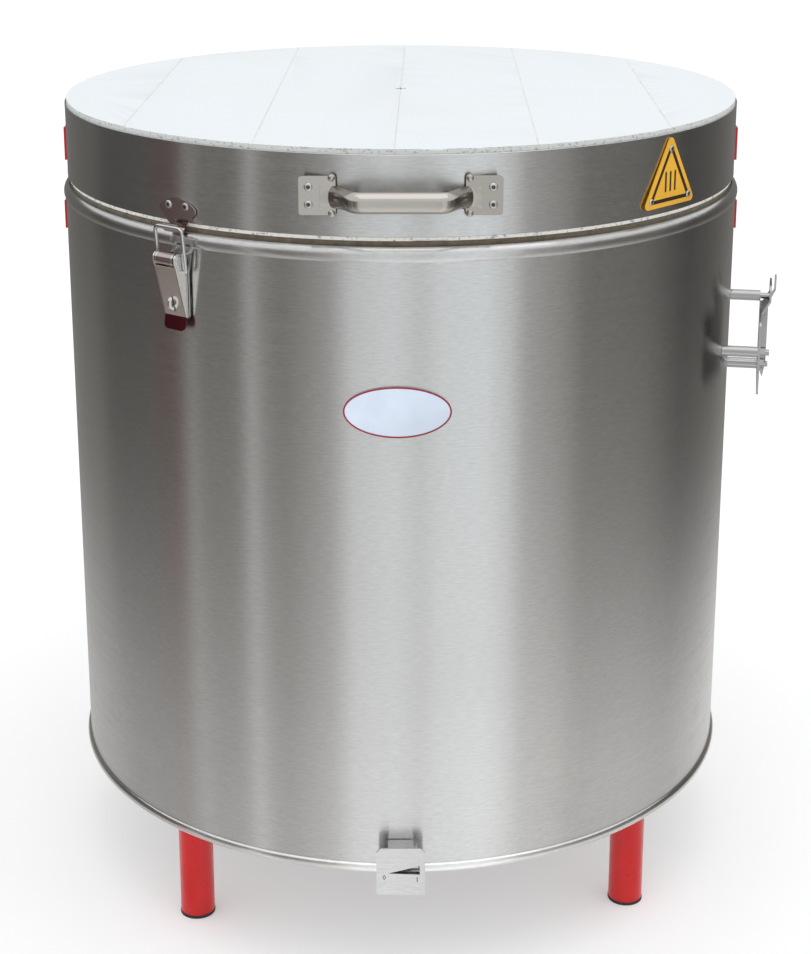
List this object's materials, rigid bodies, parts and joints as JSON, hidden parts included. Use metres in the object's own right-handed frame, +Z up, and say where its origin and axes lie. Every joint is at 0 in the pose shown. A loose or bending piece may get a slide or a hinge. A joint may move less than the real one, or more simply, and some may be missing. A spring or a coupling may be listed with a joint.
{
  "type": "glass kiln",
  "caption": "Round top-loading glass kiln: brick-lined stainless drum on red legs, hinged white brick lid with handle and toggle latch, coil elements inside and a swinging damper below.",
  "frame": {"origin": "on the ground, on the axis of the drum", "axes": "+Z up along the drum's axis, -Y to the front where the handle is, +X to the right of a person who faces the front; the hinge is at +Y"},
  "size_m": [0.7347, 0.7862, 0.8083],
  "materials": {
    "stainless": "satin",
    "polished_steel": "polished",
    "zinc_steel": "satin",
    "red_paint": "gloss",
    "firebrick": "matte",
    "ceramic_fibre": "matte",
    "heating_wire": "matte",
    "porcelain": "gloss",
    "rubber": "matte",
    "black_plastic": "matte",
    "spring_steel": "satin",
    "sign_yellow": "gloss",
    "badge_white": "gloss"
  },
  "bodies": {
    "kiln_body": {"shell": "stainless", "floor_pan": "stainless", "terminal_box": "stainless", "terminal_cover": "stainless", "damper_guide": "stainless", "holder_plate": "stainless", "latch_base": "polished_steel", "latch_barrel": "polished_steel", "latch_pin": "polished_steel", "latch_staple": "polished_steel", "leg_bolts": "zinc_steel", "cover_screws": "zinc_steel", "body_strap_rivets": "zinc_steel", "latch_base_rivets": "zinc_steel", "holder_studs": "zinc_steel", "holder_nuts": "zinc_steel", "damper_pivot": "zinc_steel", "hinge_pin": "zinc_steel", "front_left_leg": "red_paint", "front_right_leg": "red_paint", "rear_right_leg": "red_paint", "rear_left_leg": "red_paint", "body_strap": "red_paint", "hinge_stop_bar": "red_paint", "floor_bricks": "firebrick", "brick_course_1": "firebrick", "brick_course_2": "firebrick", "brick_course_3": "firebrick", "brick_course_4": "firebrick", "brick_course_5": "firebrick", "fibre_wrap": "ceramic_fibre", "floor_fibre": "ceramic_fibre", "heating_coil_1": "heating_wire", "heating_coil_2": "heating_wire", "heating_coil_3": "heating_wire", "heating_coil_4": "heating_wire", "heating_coil_5": "heating_wire", "coil_bushes": "porcelain", "terminal_block": "porcelain", "thermocouple": "porcelain", "foot_caps": "rubber", "lid_sensor": "black_plastic", "cable_gland": "black_plastic", "spring_coils": "spring_steel", "hinge_clips": "spring_steel", "oval_badge": "badge_white"},
    "lid": {"lid_band": "stainless", "lid_boards": "firebrick", "lid_strap": "red_paint", "lid_strap_rivets": "zinc_steel", "spring_lid_legs": "spring_steel", "lid_magnet": "black_plastic", "lid_handle": "polished_steel", "lid_pop_rivets": "zinc_steel", "heat_sign": "sign_yellow", "sign_rivets": "zinc_steel", "latch_catch": "polished_steel"},
    "latch_lever": {"latch_lever": "polished_steel"},
    "latch_bail": {"latch_bail": "polished_steel"},
    "damper": {"damper_arm": "stainless"}
  },
  "joints": [
    {"name": "lid_hinge", "type": "hinge", "parent": "kiln_body", "child": "lid", "pos_m": [0, 0.378, 0.728], "axis": [-1, 0, 0], "range_deg": [0, 80], "stiffness_Nm_per_rad": 32, "springref_deg": 108.86},
    {"name": "latch_lever_pivot", "type": "hinge", "parent": "kiln_body", "child": "latch_lever", "pos_m": [-0.20955, -0.28841, 0.699], "axis": [-0.809, 0.5878, 0], "range_deg": [0, 110]},
    {"name": "latch_bail_pivot", "type": "hinge", "parent": "latch_lever", "child": "latch_bail", "pos_m": [-0.20572, -0.28316, 0.687], "axis": [-0.809, 0.5878, 0], "range_deg": [-115, 5]},
    {"name": "damper_swing", "type": "hinge", "parent": "kiln_body", "child": "damper", "pos_m": [0, 0, 0.1045], "axis": [0, 0, -1], "range_deg": [0, 11]}
  ],
  "couplings": [
    {"joint": "latch_bail_pivot", "follows": "latch_lever_pivot", "ratio": -1}
  ]
}
